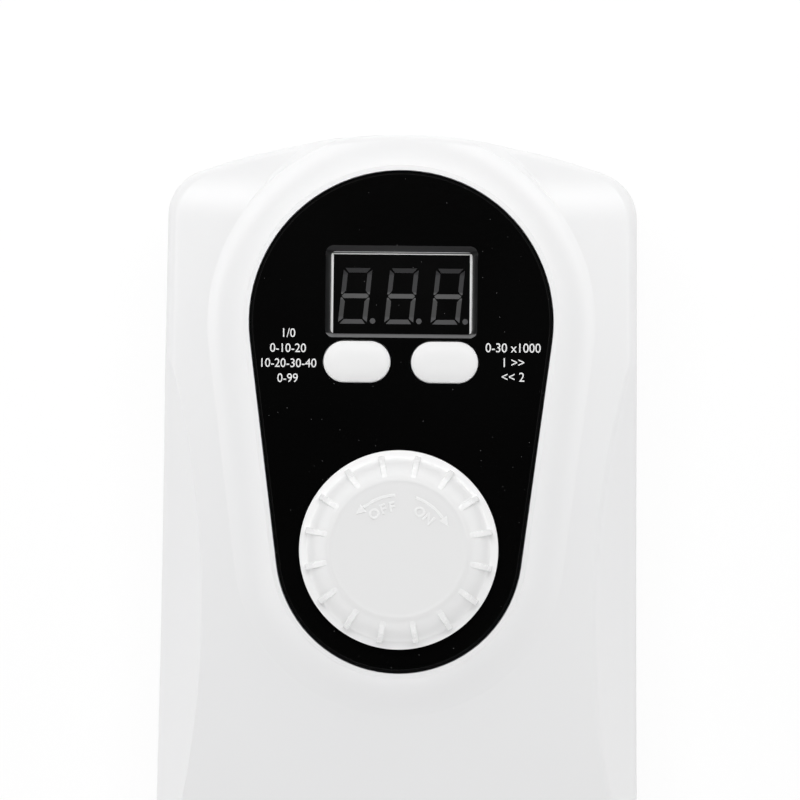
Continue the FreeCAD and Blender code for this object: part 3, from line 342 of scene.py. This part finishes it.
def soft_rubber():
    """Moulded soft rubber: matt charcoal with a dusty bloom."""
    material, tree, shader = new_material("Matt_black_rubber", "#232324", 0.8)
    colour_between(tree, shader, noise(tree, 1.0, 4.0), "#1E1E1F", "#2D2D2E")
    relief(tree, shader, noise(tree, 0.3), 0.01, 0.5)
    return material


def print_ink():
    """White pad-print ink: thin, flat and a touch uneven in density."""
    material, tree, shader = new_material("White_pad_print_ink", "#F2F2F2", 0.45)
    colour_between(tree, shader, noise(tree, 0.5), "#E6E6E6", "#F6F6F6")
    return material


# Finishes that pieces made below wear too
satin_white = satin_abs()
knob_white_painted_light = knob_abs_painted_light()
polished_white_painted_highlight = polished_relief_painted_highlight()
nylon = black_nylon()
steel = zinc_steel()
nickel = nickel_strip()
rubber = soft_rubber()
ink = print_ink()

FINISHES = {
    gloss_abs(): ["front_shell", "back_shell", "belt_clip"],
    black_acrylic(): ["control_panel"],
    display_body(): ["display_module"],
    display_ink(): ["display_face"],
    segment_resin(): ["display_segments"],
    satin_white: ["button_left", "button_right"],
    knob_white_painted_light: ["knob"],
    nylon: ["switch_body_left", "switch_body_right", "switch_plunger_left", "switch_plunger_right",
            "potentiometer_switch", "main_board_parts", "power_board_parts", "handpiece_socket",
            "charge_socket"],
    steel: ["potentiometer_body", "potentiometer_nut", "potentiometer_shaft", "clip_pin", "clip_spring",
            "case_screws"],
    nickel: ["display_pins", "battery_cell_tabs"],
    board_lacquer(): ["main_board", "power_board"],
    cell_sleeve(): ["battery_cell_1", "battery_cell_2"],
    tray_plastic(): ["battery_holder"],
    rubber: ["rubber_feet"],
}
for material, nodes in FINISHES.items():
    for name in nodes:
        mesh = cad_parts[name].data
        mesh.materials.clear()
        mesh.materials.append(material)


# Mesh helpers, in millimetres

SEAM = 0.0005                           # points closer than this are one


def piece(bm, name, material, body, smooth=35.0):
    """Turns a bmesh in millimetres into a named piece that rides on a CAD body."""
    bmesh.ops.remove_doubles(bm, verts=bm.verts, dist=SEAM)
    bmesh.ops.recalc_face_normals(bm, faces=bm.faces)
    bmesh.ops.scale(bm, vec=(MM, MM, MM), verts=bm.verts)
    mesh = bpy.data.meshes.new(name)
    bm.to_mesh(mesh)
    bm.free()
    mesh.materials.append(material)
    mesh.shade_smooth()
    mesh.set_sharp_from_angle(angle=math.radians(smooth))
    thing = bpy.data.objects.new(name, mesh)
    bpy.context.scene.collection.objects.link(thing)
    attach(thing, body)
    return thing


def verts_of(made):
    """The vertices among what an operator made."""
    return [g for g in made if isinstance(g, bmesh.types.BMVert)]


def rounded(bm, edges, width, segments):
    """Rounds the edges given."""
    bmesh.ops.bevel(bm, geom=edges, offset=width, segments=segments, profile=0.5, affect="EDGES",
                    material=-1)


def turned(profile, steps, closed=False):
    """Spins a (radius, height) profile once about Z; a closed one joins its last point to its first."""
    bm = bmesh.new()
    verts = [bm.verts.new((r, 0, z)) for r, z in profile]
    following = verts[1:] + verts[:1] if closed else verts[1:]
    edges = [bm.edges.new(pair) for pair in zip(verts, following)]
    bmesh.ops.spin(bm, geom=verts + edges, cent=(0, 0, 0), axis=(0, 0, 1), angle=2 * math.pi,
                   steps=steps, use_merge=True)
    bmesh.ops.remove_doubles(bm, verts=bm.verts, dist=SEAM)
    return bm


def ring_at(bm, radius, z):
    """The edges of a turned piece that lie on one circle about Z."""
    within = 0.02
    return [e for e in bm.edges if all(
        abs(math.hypot(v.co.x, v.co.y) - radius) < within and abs(v.co.z - z) < within for v in e.verts)]


def rounded_disc(bm, place, radius, thick, rounding, segments):
    """Adds an upright disc whose lower rim is rounded."""
    made = bmesh.ops.create_cone(bm, cap_ends=True, segments=segments, radius1=radius, radius2=radius,
                                 depth=thick, matrix=Matrix.Translation(place))
    level = place[2] - thick / 2 + 0.1
    rim = [e for e in bm.edges if len(e.link_faces) == 2
           and all(v in made["verts"] and v.co.z < level for v in e.verts)]
    rounded(bm, rim, rounding, 4)


def stadium_face(bm, length, width, x, y, z):
    """Adds a flat stadium: a circle whose two halves are drawn apart."""
    segments = 64
    made = bmesh.ops.create_circle(bm, cap_ends=True, radius=width / 2, segments=segments,
                                   matrix=Matrix.Rotation(math.pi / segments, 4, "Z"))
    for v in made["verts"]:
        v.co.x += math.copysign((length - width) / 2, v.co.x)
    bmesh.ops.translate(bm, vec=(x, y, z), verts=made["verts"])
    return made["verts"][0].link_faces[0]


def raise_face(bm, face, height):
    """Extrudes one face upwards and returns the new face."""
    made = bmesh.ops.extrude_face_region(bm, geom=[face])["geom"]
    bmesh.ops.translate(bm, vec=(0, 0, height), verts=verts_of(made))
    return [g for g in made if isinstance(g, bmesh.types.BMFace)][0]


# Speed knob

FLANGE_R, FLANGE_Z = 16.1, KNOB_LOW + 1.4
SKIRT_R, SHOULDER = 14.8, (13.5, KNOB_HIGH - 0.8)
RIM_R, FACE_R, FACE_Z = 11.15, 10.6, KNOB_HIGH - 0.1    # the rim stands a little over the face
HOLLOW_R, KNOB_WALL = 13.4, 1.4
KNOB_STEPS = 160
KNOB_CORNERS = (                        # radius, height, rounding and its segments
    (FACE_R, FACE_Z, 0.3, 3), (RIM_R, KNOB_HIGH, 0.35, 4), (SKIRT_R, FLANGE_Z, 0.35, 3),
    (FLANGE_R, FLANGE_Z, 0.3, 4), (FLANGE_R, KNOB_LOW, 0.2, 3))
RIBS, RIB_WIDTH, RIB_ROUNDING = 16, 1.0, 0.17
RIB_PROFILE = (
    (10.6, KNOB_HIGH - 1.2), (11.4, KNOB_HIGH - 0.15), (12.5, KNOB_HIGH - 0.5), (13.7, KNOB_HIGH - 1.5),
    (15.3, FLANGE_Z + 1.1), (15.4, FLANGE_Z - 0.1), (13.4, FLANGE_Z - 0.1))


def knob_skirt():
    """(radius, height) points of the domed skirt, a curve from the rim to the flange."""
    steps = 14
    ends = (RIM_R, KNOB_HIGH), SHOULDER, (SKIRT_R, FLANGE_Z)
    points = []
    for k in range(steps + 1):
        t = k / steps
        shares = (1 - t) ** 2, 2 * t * (1 - t), t ** 2
        points.append(tuple(sum(s * end[axis] for s, end in zip(shares, ends)) for axis in (0, 1)))
    return points


def knob_ribs():
    """Sixteen grip ribs: bars with a flat top that stand higher over the skirt towards the flange."""
    bm = bmesh.new()
    side = bm.faces.new([bm.verts.new((r, -RIB_WIDTH / 2, z)) for r, z in RIB_PROFILE])
    made = bmesh.ops.extrude_face_region(bm, geom=[side])["geom"]
    bmesh.ops.translate(bm, vec=(0, RIB_WIDTH, 0), verts=verts_of(made))
    rounded(bm, list(bm.edges), RIB_ROUNDING, 3)
    one = list(bm.verts) + list(bm.edges) + list(bm.faces)
    for k in range(1, RIBS):
        copy = bmesh.ops.duplicate(bm, geom=one)["geom"]
        bmesh.ops.rotate(bm, cent=(0, 0, 0), matrix=Matrix.Rotation(k * 2 * math.pi / RIBS, 3, "Z"),
                         verts=verts_of(copy))
    bmesh.ops.rotate(bm, cent=(0, 0, 0), matrix=Matrix.Rotation(math.pi / RIBS, 3, "Z"), verts=bm.verts)
    return bm


def speed_knob():
    """Knob with rounded flange, domed skirt, slightly sunk face and grip ribs, hollow like the real one."""
    under = KNOB_HIGH - KNOB_WALL
    bm = turned([(0, FACE_Z), (FACE_R, FACE_Z)] + knob_skirt() + [
        (FLANGE_R, FLANGE_Z), (FLANGE_R, KNOB_LOW), (HOLLOW_R, KNOB_LOW), (HOLLOW_R, FLANGE_Z + 0.3),
        (FACE_R, under), (0, under)], KNOB_STEPS)
    for radius, z, width, segments in KNOB_CORNERS:
        rounded(bm, ring_at(bm, radius, z), width, segments)
    ribs = knob_ribs()
    for part in (bm, ribs):
        bmesh.ops.translate(part, vec=(0, KNOB_CENTRE_Y, 0), verts=part.verts)
    body = piece(bm, "speed_knob", knob_white_painted_light, "knob")
    piece(ribs, "speed_knob_ribs", polished_white_painted_highlight, "knob")
    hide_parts("knob")


def lettering(name, words, size, depth, bevel, bold, place, material, body):
    """Words made a mesh in millimetres, then put in place by a matrix; bold thickens their strokes."""
    curve = bpy.data.curves.new(name + "_text", "FONT")
    curve.body = words
    curve.size = size
    curve.align_x = "CENTER"
    curve.align_y = "CENTER"
    curve.extrude = depth
    curve.bevel_depth = bevel
    curve.bevel_resolution = 1
    curve.offset = bold
    holder = bpy.data.objects.new(name + "_holder", curve)
    bpy.context.scene.collection.objects.link(holder)
    bpy.context.view_layer.update()
    mesh = bpy.data.meshes.new_from_object(holder.evaluated_get(bpy.context.evaluated_depsgraph_get()))
    bpy.data.objects.remove(holder)
    bm = bmesh.new()
    bm.from_mesh(mesh)
    bpy.data.meshes.remove(mesh)
    bmesh.ops.transform(bm, matrix=place, verts=bm.verts)
    piece(bm, name, material, body, smooth=20.0)


LETTER_R, LETTER_SIZE, LETTER_RISE, LETTER_ROUNDING, LETTER_BOLD = 6.75, 2.15, 0.10, 0.06, 0.02
ARROW_R = 8.65
ARROW_HALF, HEAD_HALF, HEAD_LONG = 0.24, 0.8, 1.6
ARROW_RISE, ARROW_SUNK, ARROW_ROUNDING = 0.16, 0.02, 0.09


def knob_letter(name, letter, angle):
    """One raised letter on the knob's face, its top outwards."""
    a = math.radians(angle)
    spot = Vector((LETTER_R * math.cos(a), KNOB_CENTRE_Y + LETTER_R * math.sin(a), FACE_Z))
    place = Matrix.Translation(spot) @ Matrix.Rotation(a - math.pi / 2, 4, "Z")
    lettering(name, letter, LETTER_SIZE, LETTER_RISE, LETTER_ROUNDING, LETTER_BOLD, place,
              polished_white_painted_highlight, "knob")


def curved_arrow(name, start, end):
    """Low raised arc from one angle to another, with a head at its end, for the turning direction."""
    bm = bmesh.new()
    a0, a1 = math.radians(start), math.radians(end)
    corners = [(ARROW_R - ARROW_HALF, 0), (ARROW_R + ARROW_HALF, 0),
               (ARROW_R + ARROW_HALF, ARROW_RISE), (ARROW_R - ARROW_HALF, ARROW_RISE)]
    face = bm.faces.new([bm.verts.new((r * math.cos(a0), r * math.sin(a0), z)) for r, z in corners])
    bmesh.ops.spin(bm, geom=[face], cent=(0, 0, 0), axis=(0, 0, 1), angle=a1 - a0, steps=12)
    across = Vector((math.cos(a1), math.sin(a1), 0))
    ahead = Vector((-math.sin(a1), math.cos(a1), 0)) * math.copysign(1, a1 - a0)
    neck = across * ARROW_R
    head = bm.faces.new([bm.verts.new(point) for point in (
        neck + across * HEAD_HALF, neck - across * HEAD_HALF, neck + ahead * HEAD_LONG)])
    raise_face(bm, head, ARROW_RISE)
    crown = [e for e in bm.edges if all(v.co.z > ARROW_RISE / 2 for v in e.verts)
             and len(e.link_faces) == 2 and e.calc_face_angle() > 0.5]
    rounded(bm, crown, ARROW_ROUNDING, 2)
    bmesh.ops.translate(bm, vec=(0, KNOB_CENTRE_Y, FACE_Z - ARROW_SUNK), verts=bm.verts)
    piece(bm, name, polished_white_painted_highlight, "knob", smooth=20.0)


speed_knob()
for mark, letter, angle in (("off_1", "O", 125.0), ("off_2", "F", 111.5), ("off_3", "F", 99.5),
                            ("on_1", "O", 60.5), ("on_2", "N", 45.5)):
    knob_letter("knob_letter_" + mark, letter, angle)
curved_arrow("knob_arrow_off", 94, 131)
curved_arrow("knob_arrow_on", 72, 35)


# Push buttons

CAP_DOME = ((0.9, 0.25), (0.8, 0.11), (0.7, 0.03))      # inset and rise of each step
CAP_ROUNDING = 0.3
KEEPER_WIDER, KEEPER_THICK = 0.9, 0.6                   # the flange that keeps a cap in the panel


def push_button(side, name):
    """Oval cap, gently domed inside a fine rounded edge, over the flange that keeps it in the panel."""
    x = side * BUTTON_X
    low, high = (corner[2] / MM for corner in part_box(name))
    bm = bmesh.new()
    face = stadium_face(bm, BUTTON_LENGTH, BUTTON_WIDTH, x, BUTTON_Y, low)
    crown = raise_face(bm, face, high - low - sum(rise for _, rise in CAP_DOME))
    edge = list(crown.edges)
    for inset, rise in CAP_DOME:
        bmesh.ops.inset_region(bm, faces=[crown], thickness=inset, use_even_offset=True)
        bmesh.ops.translate(bm, vec=(0, 0, rise), verts=list(crown.verts))
    rounded(bm, edge, CAP_ROUNDING, 4)
    keeper = stadium_face(bm, BUTTON_LENGTH + KEEPER_WIDER, BUTTON_WIDTH + KEEPER_WIDER, x, BUTTON_Y, low)
    raise_face(bm, keeper, KEEPER_THICK)
    cap = piece(bm, "push_" + name, satin_white, name)
    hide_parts(name)


push_button(-1, "button_left")
push_button(1, "button_right")


# Generic printed marks: numbers and signs, each line with its height on the panel

PRINT_THICK, PRINT_NARROW, PRINT_BOLD = 0.012, 0.93, 0.004
PRINTS = (
    ("left", -18.35, 2.03, (("1/0", 40.45), ("0-10-20", 38.0), ("10-20-30-40", 35.55), ("0-99", 33.1))),
    ("right", 18.25, 2.12, (("0-30 x1000", 38.3), ("1 >>", 35.9), ("<< 2", 33.55))),
)
for side, x, size, lines in PRINTS:
    for k, (words, y) in enumerate(lines, 1):
        spot = Matrix.Translation((x, y, PANEL_TOP + PRINT_THICK))
        lettering("panel_print_%s_%d" % (side, k), words, size, PRINT_THICK, 0.0, PRINT_BOLD,
                  spot @ Matrix.Diagonal((PRINT_NARROW, 1, 1, 1)), ink, "housing")


# Small fittings on the hidden sides

HEAD_R, HEAD_THICK, HEAD_ROUNDING, HEAD_Z = 2.7, 1.8, 0.6, 4.3
SHANK_R, SHANK_LONG, SHANK_Z = 1.35, 12.0, 11.2
PAINTED_RECESS_SIZE, PAINTED_RECESS_Z = (2.6, 0.55, 0.08, 1), 3.42


def case_screw_heads():
    """Two pan heads, each with a thin black cross on its face as the painted shade of a cross recess."""
    bm = bmesh.new()
    cross = bmesh.new()
    for x, y in SCREW_PLACES:
        rounded_disc(bm, (x, y, HEAD_Z), HEAD_R, HEAD_THICK, HEAD_ROUNDING, 48)
        bmesh.ops.create_cone(bm, cap_ends=True, segments=24, radius1=SHANK_R, radius2=SHANK_R,
                              depth=SHANK_LONG, matrix=Matrix.Translation((x, y, SHANK_Z)))
        # Painted shade: a thin black cross on each head stands in for the dark of a cross recess
        for turn in (0, math.pi / 2):
            place = Matrix.Translation((x, y, PAINTED_RECESS_Z)) @ Matrix.Rotation(turn, 4, "Z")
            bmesh.ops.create_cube(cross, size=1.0, matrix=place @ Matrix.Diagonal(PAINTED_RECESS_SIZE))
    heads = piece(bm, "case_screw_heads", steel, "housing")
    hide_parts("case_screws")
    piece(cross, "case_screw_recess_painted_shade", nylon, "housing")


def soft_feet():
    """Domed edge pads on the back."""
    bm = bmesh.new()
    for x, y in FOOT_PLACES:
        rounded_disc(bm, (x, y, FOOT_THICK / 2), FOOT_R, FOOT_THICK, FOOT_ROUNDING, 64)
    pads = piece(bm, "soft_feet", rubber, "housing")
    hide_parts("rubber_feet")


def socket_sleeve(name, x, inner, outer, depth):
    """Thin metal sleeve lining a socket's mouth."""
    bm = turned([(inner, 0), (outer, 0), (outer, depth), (inner, depth)], 48, closed=True)
    bmesh.ops.rotate(bm, cent=(0, 0, 0), matrix=Matrix.Rotation(-math.pi / 2, 3, "X"), verts=bm.verts)
    bmesh.ops.translate(bm, vec=(x, SOCKET_MOUTH_Y, SOCKET_Z), verts=bm.verts)
    piece(bm, name, nickel, "housing")


case_screw_heads()
soft_feet()
socket_sleeve("handpiece_socket_sleeve", HANDPIECE_X, inner=1.82, outer=2.35, depth=5.0)
socket_sleeve("charge_socket_sleeve", CHARGE_X, inner=3.0, outer=3.19, depth=6.0)


# Table, light and camera, in metres

TABLE_HALF = 3.0
TABLE_GLOW, TABLE_GLOW_SHARE = 1.06, 0.85               # the rest is lit plastic that keeps the shadow
# Brightness of the surroundings from the horizon, 0, to straight overhead, 1
SKY_BANDS = ((0.0, 1.3), (0.3, 1.3), (0.6, 0.42), (0.85, 0.12), (0.975, 0.01))
LAMPS = (                               # name, place, aim, width, height and power in watts
    ("key_softbox", (0.0, 0.31, 0.52), (0, 0.03, 0.02), 0.5, 0.2, 0.45),
    ("top_softbox", (0.0, 0.22, 0.42), (0, 0.05, 0.02), 0.5, 0.12, 0.65),
    ("left_strip", (-0.36, 0.16, 1.0), (0, 0.03, 0.03), 0.2, 0.28, 0.85),
    ("right_strip", (0.36, 0.16, 1.0), (0, 0.03, 0.03), 0.2, 0.28, 0.73),
    ("low_fill", (0.0, -1.7, 0.4), (0, 0, 0.02), 1.2, 0.6, 3.1),
    ("left_fill", (-0.5, -0.22, 0.35), (0, -0.02, 0.02), 0.3, 0.3, 0.12),
)
CAMERA_PLACE, CAMERA_AIM = Vector((0.006, -0.006, 0.600)), Vector((-0.00005, 0.02974, 0.0295))
CAMERA_LENS, CAMERA_ROLL = 158.4, 0.6   # millimetres on a 36 mm sensor, and degrees


def seen_by(tree, *kinds):
    """1 for the kinds of ray named, 0 for all others."""
    rays = add_node(tree, "ShaderNodeLightPath")
    seen = rays.outputs[kinds[0]]
    for kind in kinds[1:]:
        seen = add_node(tree, "ShaderNodeMath", {"operation": "MAXIMUM"}, {
            0: seen, 1: rays.outputs[kind]}).outputs[0]
    return seen


def floor():
    """Pale table; seen straight on it is white, and it keeps the unit's soft shadow."""
    bm = bmesh.new()
    bmesh.ops.create_grid(bm, x_segments=1, y_segments=1, size=TABLE_HALF)
    mesh = bpy.data.meshes.new("floor")
    bm.to_mesh(mesh)
    bm.free()
    material, tree, shader = new_material("White_table", "#DCDCDC", 0.6)
    seen = seen_by(tree, "Is Camera Ray", "Is Glossy Ray", "Is Transmission Ray")
    share = add_node(tree, "ShaderNodeMath", {"operation": "MULTIPLY"}, {0: seen, 1: TABLE_GLOW_SHARE})
    glow = add_node(tree, "ShaderNodeEmission", inputs={
        "Color": linear("#FFFFFF"), "Strength": TABLE_GLOW})
    mix = add_node(tree, "ShaderNodeMixShader", inputs={
        0: share.outputs[0], 1: shader.outputs[0], 2: glow.outputs[0]})
    tree.links.new(mix.outputs[0], tree.nodes["Material Output"].inputs["Surface"])
    mesh.materials.append(material)
    thing = bpy.data.objects.new("floor", mesh)
    bpy.context.scene.collection.objects.link(thing)


def softbox(name, place, aim, width, height, power):
    """Soft rectangular lamp turned towards its aim."""
    lamp = bpy.data.lights.new(name, "AREA")
    lamp.shape = "RECTANGLE"
    lamp.size, lamp.size_y = width, height
    lamp.energy = power
    thing = bpy.data.objects.new(name, lamp)
    thing.location = place
    thing.rotation_euler = (Vector(aim) - Vector(place)).to_track_quat("-Z", "Y").to_euler()
    bpy.context.scene.collection.objects.link(thing)


def sky():
    """Pale surroundings that fade to a dark ceiling. The camera sees them plain white, but gloss sees them
    as they are, so that the black plate mirrors the dark from above and metal the pale horizon."""
    world = bpy.data.worlds.new("Pale_studio")
    world.use_nodes = True
    tree = world.node_tree
    background = tree.nodes["Background"]
    background.inputs["Color"].default_value = linear("#FFFFFF")
    coords = add_node(tree, "ShaderNodeTexCoord")
    way = add_node(tree, "ShaderNodeSeparateXYZ", inputs={"Vector": coords.outputs["Generated"]})
    ceiling = shades_along(tree, way.outputs["Z"], [
        (height, (level, level, level, 1.0)) for height, level in SKY_BANDS])
    strength = add_node(tree, "ShaderNodeMix", inputs={
        0: seen_by(tree, "Is Camera Ray", "Is Transmission Ray"), 2: ceiling, 3: 1.0})
    tree.links.new(strength.outputs[0], background.inputs["Strength"])
    bpy.context.scene.world = world


def camera():
    """Camera over the unit, 0.6 m up, looking a little towards the display end."""
    data = bpy.data.cameras.new("camera")
    data.sensor_width = 36.0
    data.lens = CAMERA_LENS
    data.clip_start = 0.01
    forward = (CAMERA_AIM - CAMERA_PLACE).normalized()
    right = forward.cross(Vector((0, 1, 0))).normalized()
    up = right.cross(forward)
    turn = Matrix((right, up, -forward)).transposed().to_4x4()
    thing = bpy.data.objects.new("camera", data)
    roll = Matrix.Rotation(math.radians(CAMERA_ROLL), 4, "Z")
    thing.matrix_world = Matrix.Translation(CAMERA_PLACE) @ turn @ roll
    bpy.context.scene.collection.objects.link(thing)
    bpy.context.scene.camera = thing


floor()
sky()
for lamp in LAMPS:
    softbox(*lamp)
camera()
bpy.context.scene.view_settings.view_transform = "Standard"
